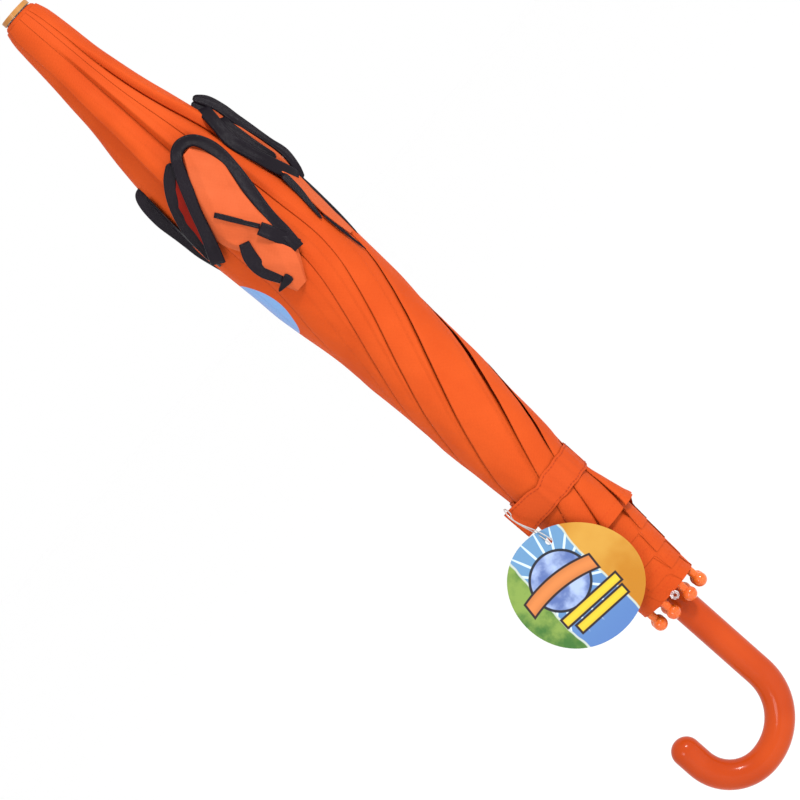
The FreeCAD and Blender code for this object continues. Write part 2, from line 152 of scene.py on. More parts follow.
def lathe(name, outline, material, steps=48, closed=False):
    """A turned shape from (radius, height) points, in millimetres, round a vertical axis."""
    verts = []
    for radius, height in outline:
        for k in range(steps):
            turn = 2 * math.pi * k / steps
            verts.append((radius * math.cos(turn), radius * math.sin(turn), height))
    faces = grid_faces(len(outline), steps, closed=True)
    if closed:
        last = len(outline) - 1
        faces += [(last * steps + k, k, (k + 1) % steps, last * steps + (k + 1) % steps)
                  for k in range(steps)]
    else:
        faces.append(tuple(range(steps)))
        faces.append(tuple((len(outline) - 1) * steps + k for k in reversed(range(steps))))
    made = new_object(name, verts, faces, material)
    normals_outside(made)
    return made


# Camera, floor and light ---------------------------------------------------------------------
AIM = Vector((-19.1, 0, 221.3)) * MM
VIEW_WIDTH = 440.8 * MM
LENS = 200.0
SENSOR = 36.0
ELEVATION = 3.0
ROLL = 48.53
FLOOR_DROP = 300.0


def camera():
    data = bpy.data.cameras.new("camera")
    data.lens = LENS
    data.sensor_width = SENSOR
    data.clip_start = 0.05
    data.clip_end = 100
    made = bpy.data.objects.new("camera", data)
    scene.collection.objects.link(made)
    away = VIEW_WIDTH * LENS / SENSOR
    tilt = math.radians(ELEVATION)
    made.location = AIM + Vector((0, -math.cos(tilt), math.sin(tilt))) * away
    upright = Matrix.Rotation(math.pi / 2 - tilt, 4, "X")
    made.rotation_euler = (upright @ Matrix.Rotation(math.radians(-ROLL), 4, "Z")).to_euler()
    scene.camera = made


def area_light(name, place, size, power):
    data = bpy.data.lights.new(name, "AREA")
    data.shape = "RECTANGLE"
    data.size, data.size_y = size
    data.energy = power
    made = bpy.data.objects.new(name, data)
    scene.collection.objects.link(made)
    made.location = place
    made.rotation_euler = (AIM - Vector(place)).to_track_quat("-Z", "Y").to_euler()


def studio():
    world = bpy.data.worlds.new("studio")
    world.use_nodes = True
    world.node_tree.nodes["Background"].inputs["Color"].default_value = (1, 1, 1, 1)
    world.node_tree.nodes["Background"].inputs["Strength"].default_value = 1.0
    scene.world = world
    area_light("key", (1.0, -1.35, 1.15), (0.35, 0.35), 28)
    area_light("fill", (-1.0, -1.8, 0.4), (0.6, 0.6), 12)
    floor = new_object("floor", [(-40000, -40000, -FLOOR_DROP), (40000, -40000, -FLOOR_DROP),
                                 (40000, 40000, -FLOOR_DROP), (-40000, 40000, -FLOOR_DROP)],
                       [(0, 1, 2, 3)], plain("floor_white", (1.0, 1.0, 1.0), 1.0))


# Materials -----------------------------------------------------------------------------------
class Nodes:
    """A short way to write a material's node tree."""

    def __init__(self, name):
        self.material = bpy.data.materials.new(name)
        self.material.use_nodes = True
        self.tree = self.material.node_tree
        self.shader = self.tree.nodes["Principled BSDF"]

    def add(self, kind, operation=None, *links, **values):
        node = self.tree.nodes.new(kind)
        if operation:
            node.operation = operation
        for i, value in enumerate(links):
            self.put(node.inputs[i], value)
        for name, value in values.items():
            if hasattr(node, name):
                setattr(node, name, value)
            else:
                self.put(node.inputs[name.replace("_", " ").title()], value)
        return node

    def put(self, socket, value):
        if isinstance(value, bpy.types.NodeSocket):
            self.tree.links.new(value, socket)
        elif isinstance(value, bpy.types.Node):
            self.tree.links.new(value.outputs[0], socket)
        elif isinstance(value, tuple) and len(value) == 3 and socket.type == "RGBA":
            socket.default_value = (*value, 1)
        else:
            socket.default_value = value

    def math(self, operation, a, b=0.0):
        return self.add("ShaderNodeMath", operation, a, b).outputs[0]

    def ramp(self, value, low, high):
        node = self.tree.nodes.new("ShaderNodeMapRange")
        node.interpolation_type = "SMOOTHSTEP"
        self.put(node.inputs[0], value)
        self.put(node.inputs[1], low)
        self.put(node.inputs[2], high)
        return node.outputs[0]

    def mix(self, share, a, b):
        node = self.tree.nodes.new("ShaderNodeMix")
        node.data_type = "RGBA"
        self.put(node.inputs["Factor"], share)
        self.put(node.inputs[6], a)
        self.put(node.inputs[7], b)
        return node.outputs[2]

    def noise(self, where, scale, detail=2.0, rough=0.5):
        node = self.tree.nodes.new("ShaderNodeTexNoise")
        self.put(node.inputs["Vector"], where)
        node.inputs["Scale"].default_value = scale
        node.inputs["Detail"].default_value = detail
        node.inputs["Roughness"].default_value = rough
        return node.outputs[0]

    def place(self):
        return self.tree.nodes.new("ShaderNodeTexCoord").outputs["Object"]

    def cloth(self):
        node = self.tree.nodes.new("ShaderNodeUVMap")
        node.uv_map = "Cloth"
        return node.outputs[0]

    def value(self, name):
        node = self.tree.nodes.new("ShaderNodeAttribute")
        node.attribute_name = name
        return node.outputs["Fac"]

    def bumps(self, height, distance, strength=1.0):
        node = self.tree.nodes.new("ShaderNodeBump")
        self.put(node.inputs["Height"], height)
        node.inputs["Distance"].default_value = distance
        node.inputs["Strength"].default_value = strength
        self.put(self.shader.inputs["Normal"], node)
        return node

    def set(self, **values):
        for name, value in values.items():
            self.put(self.shader.inputs[name.replace("_", " ")], value)
        return self.material


def plain(name, colour, roughness):
    n = Nodes(name)
    return n.set(Base_Color=colour, Roughness=roughness)


def woven(name, colour, deep, thread, sheen=0.35, roughness=0.62, uv=True, spot=False,
          hem=False, specular=0.08):
    """Plain-weave nylon: threads both ways, faint cloudy tone, and a soft sheen."""
    n = Nodes(name)
    where = n.cloth() if uv else n.place()
    parts = n.add("ShaderNodeSeparateXYZ", None, where)
    turns = 2 * math.pi / thread
    warp = n.math("SINE", n.math("MULTIPLY", parts.outputs[0], turns))
    weft = n.math("SINE", n.math("MULTIPLY", parts.outputs[1 if uv else 2], turns))
    weave = n.math("MULTIPLY", warp, weft)
    clouds = n.noise(n.place(), 28.0, 3.0)
    creases = n.noise(n.place(), 160.0, 4.0, 0.6)
    tone = n.math("ADD", n.math("MULTIPLY", clouds, 0.55), n.math("MULTIPLY", weave, 0.06))
    base = n.mix(n.ramp(tone, 0.02, 0.45), deep, colour)
    if spot:
        inside = n.ramp(n.value("spot"), 0.985, 1.0)
        base = n.mix(inside, (0.17, 0.32, 0.58), base)
    if hem:
        edge = n.value("hem")
        line = n.math("MULTIPLY", n.ramp(edge, 5.2, 5.6), n.math("SUBTRACT", 1.0,
                      n.ramp(edge, 6.2, 6.6)))
        dash = n.ramp(n.math("SINE", n.math("MULTIPLY", parts.outputs[0], 2 * math.pi / 0.0026)),
                      -0.4, -0.1)
        base = n.mix(n.math("MULTIPLY", n.math("MULTIPLY", line, dash), 0.3), base,
                     (0.40, 0.035, 0.004))
    height = n.math("ADD", n.math("MULTIPLY", weave, 0.35), n.math("MULTIPLY", creases, 1.0))
    n.bumps(height, 0.00022, 0.55)
    return n.set(Base_Color=base, Roughness=roughness, Sheen_Weight=sheen,
                 Sheen_Roughness=0.4, Sheen_Tint=colour, Specular_IOR_Level=specular)


FLOW_MARK = 0.00003


def moulded(name, colour, deep, roughness=0.16, coat=0.6, milky=0.0, gloss=0.15):
    """Glossy moulded plastic with faint flow marks and a soft waviness."""
    n = Nodes(name)
    flow = n.noise(n.place(), 24.0, 2.0)
    fine = n.noise(n.place(), 900.0, 2.0)
    base = n.mix(n.ramp(flow, 0.3, 0.75), deep, colour)
    rough = n.math("ADD", n.math("MULTIPLY", fine, 0.06), roughness - 0.03)
    n.bumps(n.math("ADD", flow, n.math("MULTIPLY", fine, 0.05)), FLOW_MARK, 0.6)
    n.set(Base_Color=base, Roughness=rough, Coat_Weight=coat, Coat_Roughness=0.05,
          Specular_IOR_Level=gloss)
    if milky:
        n.set(Subsurface_Weight=milky, Subsurface_Scale=0.003)
        n.shader.inputs["Subsurface Radius"].default_value = (1.0, 0.35, 0.1)
    return n.material


def metal(name, colour, roughness, along="Z"):
    """Drawn wire or tube: fine lines along its length and a little tarnish."""
    n = Nodes(name)
    scaled = n.tree.nodes.new("ShaderNodeMapping")
    n.put(scaled.inputs[0], n.place())
    scaled.inputs["Scale"].default_value = (1, 1, 0.02) if along == "Z" else (1, 1, 1)
    lines = n.noise(scaled, 3500.0, 2.0)
    tarnish = n.noise(n.place(), 90.0, 3.0)
    base = n.mix(n.ramp(tarnish, 0.35, 0.8), colour, tuple(0.72 * c for c in colour))
    n.bumps(lines, 0.00001, 0.5)
    return n.set(Base_Color=base, Metallic=1.0,
                 Roughness=n.math("ADD", n.math("MULTIPLY", lines, 0.14), roughness - 0.07))


ORANGE = (0.50, 0.066, 0.009)
ORANGE_DEEP = (0.42, 0.046, 0.005)
MATERIALS = {}


def make_materials():
    m = MATERIALS
    m["canopy"] = woven("canopy_nylon", ORANGE, ORANGE_DEEP, 0.0011, spot=True, hem=True)
    m["strap"] = woven("strap_nylon", (0.48, 0.062, 0.010), (0.41, 0.045, 0.006), 0.0011)
    m["lining"] = woven("flap_nylon", (0.50, 0.094, 0.030), (0.42, 0.066, 0.016), 0.0011,
                        uv=False)
    m["binding"] = woven("flap_binding", (0.010, 0.007, 0.011), (0.004, 0.003, 0.005), 0.0009,
                         sheen=0.0, uv=False, roughness=0.30, specular=0.09)
    # Painted shade: a darker red sheet stands for the shade inside the front flap's fold.
    m["inside"] = woven("flap_painted_shade", (0.24, 0.010, 0.004), (0.15, 0.005, 0.002), 0.0011,
                        uv=False)
    m["handle"] = moulded("handle_gloss", (0.43, 0.052, 0.007), (0.37, 0.040, 0.005),
                          roughness=0.20, coat=0.10, gloss=0.08)
    m["tips"] = moulded("tip_gloss", (0.66, 0.145, 0.018), (0.58, 0.090, 0.010), roughness=0.14,
                        coat=0.5, milky=0.30)
    m["cap"] = moulded("cap_satin", (0.42, 0.20, 0.05), (0.32, 0.12, 0.022), roughness=0.38,
                       coat=0.1, gloss=0.2)
    m["hub"] = moulded("hub_black", (0.030, 0.030, 0.032), (0.018, 0.018, 0.02),
                       roughness=0.35, coat=0.2)
    m["ribs"] = metal("rib_black", (0.10, 0.10, 0.105), 0.36)
    m["shaft"] = metal("shaft_steel", (0.40, 0.40, 0.41), 0.26)
    m["wire"] = metal("wire_steel", (0.44, 0.43, 0.42), 0.30, along="all")
    m["clear"] = clear_plastic()
    m["stitch"] = moulded("stitch_thread", (0.34, 0.034, 0.006), (0.28, 0.026, 0.004),
                          roughness=0.5, coat=0.0)
    m["thread"] = moulded("tag_thread", (0.42, 0.41, 0.40), (0.34, 0.33, 0.33),
                          roughness=0.3, gloss=0.4)
    m["tag"] = tag_card()


def clear_plastic():
    n = Nodes("clear_plastic")
    haze = n.noise(n.place(), 400.0, 2.0)
    n.bumps(haze, 0.00002, 0.4)
    return n.set(Base_Color=(0.97, 0.97, 0.98), Roughness=n.math("MULTIPLY", haze, 0.25),
                 Transmission_Weight=0.85, IOR=1.35)


def tag_card():
    """Coated card with plain printed colour fields, rays and blank bars, and no lettering."""
    n = Nodes("tag_card")
    spot = n.tree.nodes.new("ShaderNodeMapping")
    n.put(spot.inputs[0], n.place())
    spot.inputs["Location"].default_value = (TAG_X * -MM, 0, TAG_Z * -MM)
    parts = n.add("ShaderNodeSeparateXYZ", None, spot)
    x = n.math("MULTIPLY", parts.outputs[0], 1000.0)
    z = n.math("MULTIPLY", parts.outputs[2], 1000.0)

    def turned(right, up, degrees):
        """Coordinates along and across a line through a point of the card."""
        cos, sin = math.cos(math.radians(degrees)), math.sin(math.radians(degrees))
        dx, dz = n.math("SUBTRACT", x, right), n.math("SUBTRACT", z, up)
        along = n.math("ADD", n.math("MULTIPLY", dx, cos), n.math("MULTIPLY", dz, sin))
        across = n.math("SUBTRACT", n.math("MULTIPLY", dz, cos), n.math("MULTIPLY", dx, sin))
        return along, across

    def below(value, edge, soft=0.4):
        return n.math("SUBTRACT", 1.0, n.ramp(value, edge - soft, edge))

    marble = n.noise(spot, 60.0, 4.0, 0.6)
    swirl = n.noise(spot, 26.0, 3.0, 0.55)
    green = n.mix(n.ramp(marble, 0.35, 0.65), (0.035, 0.12, 0.02), (0.17, 0.26, 0.05))
    amber = n.mix(n.ramp(swirl, 0.35, 0.65), (0.38, 0.15, 0.008), (0.46, 0.24, 0.035))
    globe_x, globe_z = n.math("SUBTRACT", x, DISC[0]), n.math("SUBTRACT", z, DISC[1])
    radius = n.math("SQRT", n.math("ADD", n.math("MULTIPLY", globe_x, globe_x),
                                   n.math("MULTIPLY", globe_z, globe_z)))
    angle = n.math("ARCTAN2", globe_z, globe_x)
    blue = n.mix(n.ramp(z, -34.0, 30.0), (0.07, 0.15, 0.36), (0.10, 0.22, 0.38))
    spokes = n.math("ABSOLUTE", n.math("SINE", n.math("MULTIPLY", angle, 10.0)))
    width = n.math("SUBTRACT", 0.30, n.math("MULTIPLY", n.ramp(radius, 17.0, 33.0), 0.27))
    ray = n.math("SUBTRACT", 1.0, n.ramp(n.math("SUBTRACT", spokes, width), 0.0, 0.12))
    ray = n.math("MULTIPLY", ray, below(radius, 33.0, 5.0))
    rays = n.mix(n.math("MULTIPLY", ray, 0.8), blue, (0.56, 0.66, 0.72))
    wobble = n.math("MULTIPLY", n.math("SUBTRACT", swirl, 0.5), 9.0)
    across = n.math("ADD", n.math("SUBTRACT", x, n.math("MULTIPLY", z, 0.08)), wobble)
    side = n.mix(n.ramp(across, -1.0, 1.0), green, amber)
    from_middle = n.math("ABSOLUTE", n.math("SUBTRACT", across, -1.5))
    field = n.mix(n.ramp(from_middle, 16.5, 17.0), rays, (0.40, 0.45, 0.40))
    field = n.mix(n.ramp(from_middle, 17.5, 18.1), field, side)
    disc = n.mix(n.ramp(n.noise(spot, 110.0, 3.0), 0.35, 0.7), (0.075, 0.12, 0.30),
                 (0.30, 0.38, 0.58))
    field = n.mix(below(radius, 17.8), field, (0.012, 0.014, 0.022))
    field = n.mix(below(radius, 16.3), field, disc)
    for right, up, tilt, length, height, bowed, fill in BARS:
        along, over = turned(right, up, tilt)
        bow = n.math("MULTIPLY", n.math("MULTIPLY", along, along), bowed)
        over = n.math("ABSOLUTE", n.math("ADD", over, bow))
        reach = n.math("MAXIMUM", n.math("SUBTRACT", n.math("ABSOLUTE", along), length / 2),
                       n.math("SUBTRACT", over, height / 2))
        field = n.mix(below(reach, 0.2), field, (0.018, 0.010, 0.012))
        shade = n.mix(n.ramp(over, 0.0, height / 2), fill, tuple(0.75 * c for c in fill))
        field = n.mix(below(reach, -1.1), field, shade)
    gloss = n.noise(spot, 700.0, 2.0)
    n.bumps(gloss, 0.00001, 0.3)
    return n.set(Base_Color=field, Roughness=n.math("ADD", n.math("MULTIPLY", gloss, 0.1), 0.35),
                 Coat_Weight=0.15, Coat_Roughness=0.1, Specular_IOR_Level=0.2)


# Where the card's disc lies, and its blank bars: centre, tilt, length, height, bow, colour.
DISC = (-3.0, 12.8)
BARS = ((-4.0, 13.6, -10.0, 46.0, 10.5, 0.007, (0.52, 0.17, 0.045)),
        (0.4, -7.0, -6.5, 41.0, 7.0, 0.0, (0.60, 0.42, 0.025)),
        (0.8, -14.6, -6.5, 35.0, 7.0, 0.0, (0.60, 0.42, 0.025)))
# Where the card hangs, and the middle of its outline from there.
TAG_X, TAG_Y, TAG_Z = -32.0, -30.5, 79.0
CARD_MIDDLE = (0.8, 4.5)
CARD_WIDE, CARD_TALL = 37.9, 34.6
CARD_TILT = 48.53
CARD_HALF_THICK = 0.22
HOLE_X, HOLE_Z, HOLE_RADIUS = -23.0, 111.0, 2.0


# The furled bundle ---------------------------------------------------------------------------
# Tables of (height, value), highest first, in millimetres.
# Outer radius of the wrapped canopy.
OUTER = [(517, 11.2), (509, 13.5), (500, 14.6), (489, 15.6), (472, 17.3), (456, 19.5), (439, 22.2),
         (422, 25.2), (394, 29.5), (356, 32.8), (320, 33.0), (299, 32.0), (249, 28.3),
         (199, 26.0), (166, 24.2), (150, 23.2), (138, 22.0), (129, 21.5), (120, 21.7),
         (108, 23.6), (91, 26.6), (80, 26.9), (40, 26.9)]
# Radius of the layers below the folded edges, where the hem flares.
TUBE = [(517, 60), (130, 21.5), (120, 21.7), (108, 22.9), (91, 23.6), (75, 23.2), (43, 21.2)]
# How far the middle of the outer layers lies to the right of the shaft.
SHIFT = [(517, 0), (430, 0), (394, 0.6), (356, 1.4), (300, 3.0), (249, 3.2), (199, 2.0),
         (150, 0.8), (129, 0.3), (105, 0.8), (91, 1.4), (43, 0.8)]
# Room inside the outer radius near the crown, where the wrapped layers crowd together.
CROWN_ROOM = [(517, 0.2), (505, 0.5), (490, 0.9), (475, 2.2), (450, 2.4), (430, 0.15), (40, 0.15)]
# How far the valleys between the gores sink.
LIP = [(517, 0.1), (500, 0.15), (489, 0.7), (472, 2.8), (450, 4.4), (430, 5.2),
       (394, 5.2), (356, 3.8), (320, 1.8), (290, 0.5), (250, 0.4), (150, 0.4), (120, 1.3),
       (40, 0.9)]
# How deep each fold's own valley is: some folds barely show near the crown.
DEPTHS = {2: [(520, 0.1), (430, 0.2), (350, 0.7), (300, 1.0), (40, 1.0)],
          4: [(520, 0.5), (400, 0.7), (300, 0.9), (40, 1.0)]}
# Where each gore's folded edge lies round the bundle at the twist's zero height, and the twist.
FOLDS = (-141.0, -114.0, -75.0, -12.0, 28.0, 76.0, 124.0, 171.0)
TWIST = [(520, 46), (480, 49), (450, 50), (402, 49), (350, 54), (312, 54), (270, 33),
         (230, 0), (182, -42), (138, -80), (90, -121), (40, -165)]
# Near the crown some folds run apart from the general twist.
STRAYS = {2: [(520, -4), (450, -6), (402, 0), (330, 0)],
          3: [(520, -32), (509, -31), (450, -22), (402, -3), (350, 0)],
          4: [(520, -24), (450, -14), (402, -3), (350, 0)],
          8: [(520, -6), (450, 3), (402, 8), (350, 0)]}


def seam_angle(gore):
    """Angle of the rib that a gore's outer layer is sewn to."""
    return FIRST_RIB + GORE_STEP * gore


def outer_radius(z):
    return through(z, OUTER)


def fold_angle(gore, z):
    stray = through(z, STRAYS[gore]) if gore in STRAYS else 0.0
    return FOLDS[gore - 1] + through(z, TWIST) + stray


def gap_to_next(gore, z, ahead=1):
    following = (gore - 1 + ahead) % GORES + 1
    return (fold_angle(following, z) - fold_angle(gore, z)) % 360


def rib_radius(z):
    """The seams lie just outside the ribs."""
    return 13.4 + (CROWN_Z - np.asarray(z, float)) / 475.0 * 5.3


# Heights of a gore's hem, lower each time another gore covers it.
HEM_STEPS = (91.0, 75.5, 61.0, 49.0, 40.0)
# Heights at which the hem takes the gaps between folds, and the folds' angles.
HEM_GAP_Z = 80.0
HEM_FOLD_Z = 70.0
GORE_TOP = 515.0
GORE_ROWS = 210


def hem_height(gore, wrapped, to_rib):
    """Height of a gore's hem: it steps down where each next gore covers it, and ends at its
    rib in a corner tied to the tip."""
    height = HEM_STEPS[0]
    for k, (above, below) in enumerate(zip(HEM_STEPS, HEM_STEPS[1:]), start=1):
        start = gap_to_next(gore, HEM_GAP_Z, k) + 3.0
        height += (below - above) * float(smooth(wrapped, start, start + 9.0))
    return height - 2.0 * float(1 - smooth(to_rib, 0.0, 12.0))


def valley(gore, z):
    return through(z, DEPTHS[gore]) if gore in DEPTHS else 1.0


def layer_radius(gore, wrapped, z, inner):
    """Radius of a gore's cloth: a shingle over its neighbour, then a spiral in to its rib."""
    gap = gap_to_next(gore, z)
    full = seam_angle(gore) - fold_angle(gore, z)
    outer = outer_radius(z)
    tube = through(z, TUBE)
    flared = 1 - smooth(wrapped, gap * 0.85, gap * 1.15)
    outer = np.minimum(outer, tube + (outer - tube) * flared)
    seam = np.minimum(rib_radius(z), outer - through(z, CROWN_ROOM))
    lip = through(z, LIP)
    along = wrapped / gap
    own, coming = valley(gore, z), valley(gore % GORES + 1, z)
    lead = np.clip(7.0 / gap, 0.12, 0.45)
    sunk = own * (1 - smooth(along, -0.02, lead)) + coming * smooth(along, lead + 0.12, 1.02)
    sunk = sunk + (1 - coming) * smooth(along, 1.05, 1.6)
    beyond = np.clip((wrapped - gap) / (full - gap), 0, 1)
    depth = lip * sunk + np.maximum(outer - seam - lip, 0.0) * beyond ** 1.3
    depth = depth - 0.16 * (1 - smooth(along, 0.0, 0.25))
    under = np.clip((outer - seam) * 0.05, 0.08, 0.4)
    return outer - depth - inner * under * smooth(wrapped, 0.0, 7.0)


def on_bundle(angle, radius, z):
    """A point of the bundle, whose outer layers lie a little to the right of the shaft."""
    seam = rib_radius(z)
    share = np.clip((radius - seam) / np.maximum(outer_radius(z) - seam, 0.5), 0, 1.2)
    turn = np.radians(angle)
    middle = through(z, SHIFT) * share
    radius = radius + share * slack(turn, z)
    return middle + radius * np.cos(turn), radius * np.sin(turn)


def slack(turn, z):
    """Soft waves in the wrapped cloth, the same for every layer."""
    wave = 0.42 * np.sin(3 * turn + z / 17.0) * np.sin(z / 23.0 + 1.0)
    wave = wave + 0.16 * np.sin(7 * turn - z / 9.0) + 0.07 * np.sin(17 * turn + z / 5.0)
    return wave * (1 - bump(z, 129, 11)) * smooth(z, 70, 110) * (1 - smooth(z, 450, 490))


def gore_columns():
    """Shares of the way round a gore's two layers: outer seam to fold, then back inside."""
    outside = np.concatenate([np.linspace(1.0, 0.42, 26)[:-1], np.linspace(0.42, 0.0, 58)])
    inside = np.concatenate([np.linspace(0.0, 0.08, 8)[1:], np.linspace(0.08, 1.0, 30)[1:]])
    return outside, inside


def gore(number, material):
    """One gore of the canopy: a pleat wrapped round the bundle, from rib to fold and back."""
    outside, inside = gore_columns()
    down = np.linspace(0, 1, GORE_ROWS)[:, None] ** 0.97
    columns = []
    for layer, shares in ((0, outside), (1, inside)):
        reach = seam_angle(number) - (GORE_STEP if layer else 0)
        for share in shares:
            full_low = reach - fold_angle(number, HEM_FOLD_Z)
            hem = hem_height(number, share * full_low, (1 - share) * full_low)
            z = GORE_TOP - down[:, 0] * (GORE_TOP - hem)
            fold = fold_angle(number, z)
            wrapped = share * (reach - fold)
            radius = layer_radius(number, wrapped, z, layer)
            x, y = on_bundle(fold + wrapped, radius, z)
            columns.append(np.stack([x, y, z], 1))
    points = np.stack(columns, 1)
    rows, count = points.shape[:2]
    across = np.zeros((rows, count))
    across[:, 1:] = np.cumsum(np.linalg.norm(np.diff(points, axis=1), axis=2), axis=1)
    along = np.zeros((rows, count))
    along[1:] = np.cumsum(np.linalg.norm(np.diff(points, axis=0), axis=2), axis=0)
    faces = grid_faces(rows, count)
    made = new_object("gore_%d" % number, points.reshape(-1, 3), faces, material)
    set_uv(made, across.ravel(), along.ravel())
    set_value(made, "hem", (along[-1:] - along).ravel())
    set_value(made, "spot", spot_field(number, points).ravel())
    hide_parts("panel_%d" % number)
    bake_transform(made)
    return made


SPOT_GORE = 7
SPOT_ANGLE, SPOT_Z, SPOT_ACROSS, SPOT_TALL = 186.0, 308.0, 15.0, 21.0


def spot_field(number, points):
    """Distance from the middle of the printed round spot, 1 at its edge."""
    if number != SPOT_GORE:
        return np.full(points.shape[:2], 9.0)
    x, y, z = points[..., 0], points[..., 1], points[..., 2]
    angle = np.degrees(np.arctan2(y, x - 3.0)) % 360
    radius = np.hypot(x - 3.0, y)
    side = np.radians(angle - SPOT_ANGLE) * radius
    field = np.hypot(side / SPOT_ACROSS, (z - SPOT_Z) / SPOT_TALL)
    hidden = radius < outer_radius(z) - 2.6
    return np.where(hidden, 9.0, field)


def crown_cloth():
    """The gathered cloth under the cap, which the gores run out from."""
    outline = [(3.3, 517.1), (6.0, 517.3), (8.6, 517.5), (9.8, 517.2), (10.7, 516.2),
               (11.2, 514.6), (11.2, 511.4)]
    steps = 96
    verts = []
    for k, (radius, height) in enumerate(outline):
        for j in range(steps):
            turn = 2 * math.pi * j / steps
            pleat = 0.25 * math.cos(GORES * (turn - math.radians(FIRST_RIB))) * k / 6
            verts.append(((radius + pleat) * math.cos(turn), (radius + pleat) * math.sin(turn),
                          height))
    made = new_object("crown_cloth", verts, grid_faces(len(outline), steps, closed=True),
                      MATERIALS["canopy"])
    count = len(verts)
    set_uv(made, [0.5 * (i % steps) for i in range(count)], [3.0 * (i // steps)
                                                            for i in range(count)])
    set_value(made, "spot", [9.0] * count)
    set_value(made, "hem", [50.0] * count)
    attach(made, "handle_and_shaft")


# Ribbons of cloth ----------------------------------------------------------------------------
def drape(x, z, lift):
    """The front surface of the bundle at a point seen from the front, plus a lift."""
    reach = outer_radius(z) + lift
    side = np.asarray(x, float) - through(z, SHIFT)
    return -np.sqrt(np.maximum(reach ** 2 - side ** 2, 36.0))


def curve_through(points, pieces):
    """A smooth line through points of any width of tuple (Catmull-Rom)."""
    p = np.array(points, float)
    p = np.vstack([2 * p[0] - p[1], p, 2 * p[-1] - p[-2]])
    line = []
    for i in range(1, len(p) - 2):
        for t in np.linspace(0, 1, pieces, endpoint=False):
            line.append(0.5 * (2 * p[i] + (p[i + 1] - p[i - 1]) * t
                               + (2 * p[i - 1] - 5 * p[i] + 4 * p[i + 1] - p[i + 2]) * t ** 2
                               + (3 * p[i] - p[i - 1] - 3 * p[i + 1] + p[i + 2]) * t ** 3))
    line.append(p[-2])
    return np.array(line)


def sweep(name, line, widths, outward, material, thick=0.8, sides=14, square=False,
          roll=False):
    """A closed flat band along a line, its face turned outward, with rounded edges."""
    line = np.asarray(line, float)
    tangent = np.gradient(line, axis=0)
    tangent /= np.linalg.norm(tangent, axis=1)[:, None]
    face = outward - (outward * tangent).sum(1)[:, None] * tangent
    face /= np.linalg.norm(face, axis=1)[:, None]
    side = np.cross(tangent, face)
    verts = []
    count = len(line)
    for i in range(count):
        end = min(i, count - 1 - i)
        taper = 1.0 if square else (0.5, 0.9, 1.0)[min(end, 2)]
        for k in range(sides):
            turn = 2 * math.pi * k / sides
            cos, sin = math.cos(turn), math.sin(turn)
            wide = math.copysign(abs(cos) ** 0.6, cos)
            rolled = thick * (0.55 + 0.75 * bump(abs(wide), 0.8, 0.3)) if roll else thick
            verts.append(line[i] + side[i] * wide * widths[i] / 2 * taper
                         + face[i] * sin * rolled * taper)
    faces = grid_faces(count, sides, closed=True)
    faces.append(tuple(range(sides)))
    faces.append(tuple((count - 1) * sides + k for k in reversed(range(sides))))
    made = new_object(name, verts, faces, material)
    normals_outside(made)
    return made


BINDING_STEPS = 9
BINDING_WANDER = 0.2


def binding(name, points, body, lift=1.2, width=7.0, front=None, thick=0.8, over=None,
            square=False):
    """A length of the flaps' bias binding through (x, z) or (x, z, width) points.

    It lies a lift above the bundle, at a fixed front, or over a flap's crumpled cloth."""
    points = [p if len(p) == 3 else (*p, width) for p in points]
    line = curve_through(points, BINDING_STEPS)
    x, z, widths = line[:, 0], line[:, 1], line[:, 2]
    run = np.arange(len(x))
    depth = drape(x, z, lift) if front is None else np.full(len(x), front)
    if over:
        depth = drape(x, z, 0.9) - rise(x, z, *over) - lift
    depth = depth + BINDING_WANDER * np.sin(run * 0.35 + len(points))
    widths = widths * (1 + 0.05 * np.sin(run * 0.27))
    outward = np.stack([0.35 * x / 33.0, np.full(len(x), -1.0), 0 * x], 1)
    made = sweep(name, np.stack([x, depth, z], 1), widths, outward, MATERIALS["binding"],
                 thick, sides=24, roll=True, square=square)
    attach(made, body)
    return made


# Stitches along a seam, in metres.
STITCH_SIZES = {"Spacing": 2.4 * MM, "Length": 2.4 * 0.62 * MM, "Radius": 0.16 * MM}


def stitch_tree():
    """Geometry nodes that lay short stitches along a path."""
    tree = bpy.data.node_groups.new("stitches", "GeometryNodeTree")
    face = tree.interface
    face.new_socket("Path", in_out="INPUT", socket_type="NodeSocketGeometry")
    for label, value in STITCH_SIZES.items():
        socket = face.new_socket(label, in_out="INPUT", socket_type="NodeSocketFloat")
        socket.default_value = value
    face.new_socket("Material", in_out="INPUT", socket_type="NodeSocketMaterial")
    face.new_socket("Stitches", in_out="OUTPUT", socket_type="NodeSocketGeometry")
    start = tree.nodes.new("NodeGroupInput")
    end = tree.nodes.new("NodeGroupOutput")
    points = tree.nodes.new("GeometryNodeCurveToPoints")
    points.mode = "LENGTH"
    thread = tree.nodes.new("GeometryNodeMeshCylinder")
    thread.inputs["Vertices"].default_value = 6
    place = tree.nodes.new("GeometryNodeInstanceOnPoints")
    real = tree.nodes.new("GeometryNodeRealizeInstances")
    paint = tree.nodes.new("GeometryNodeSetMaterial")
    for source, target in ((start.outputs["Path"], points.inputs["Curve"]),
                           (start.outputs["Spacing"], points.inputs["Length"]),
                           (start.outputs["Length"], thread.inputs["Depth"]),
                           (start.outputs["Radius"], thread.inputs["Radius"]),
                           (points.outputs["Points"], place.inputs["Points"]),
                           (points.outputs["Rotation"], place.inputs["Rotation"]),
                           (thread.outputs["Mesh"], place.inputs["Instance"]),
                           (place.outputs[0], real.inputs[0]),
                           (real.outputs[0], paint.inputs["Geometry"]),
                           (start.outputs["Material"], paint.inputs["Material"]),
                           (paint.outputs[0], end.inputs[0])):
        tree.links.new(source, target)
    return tree


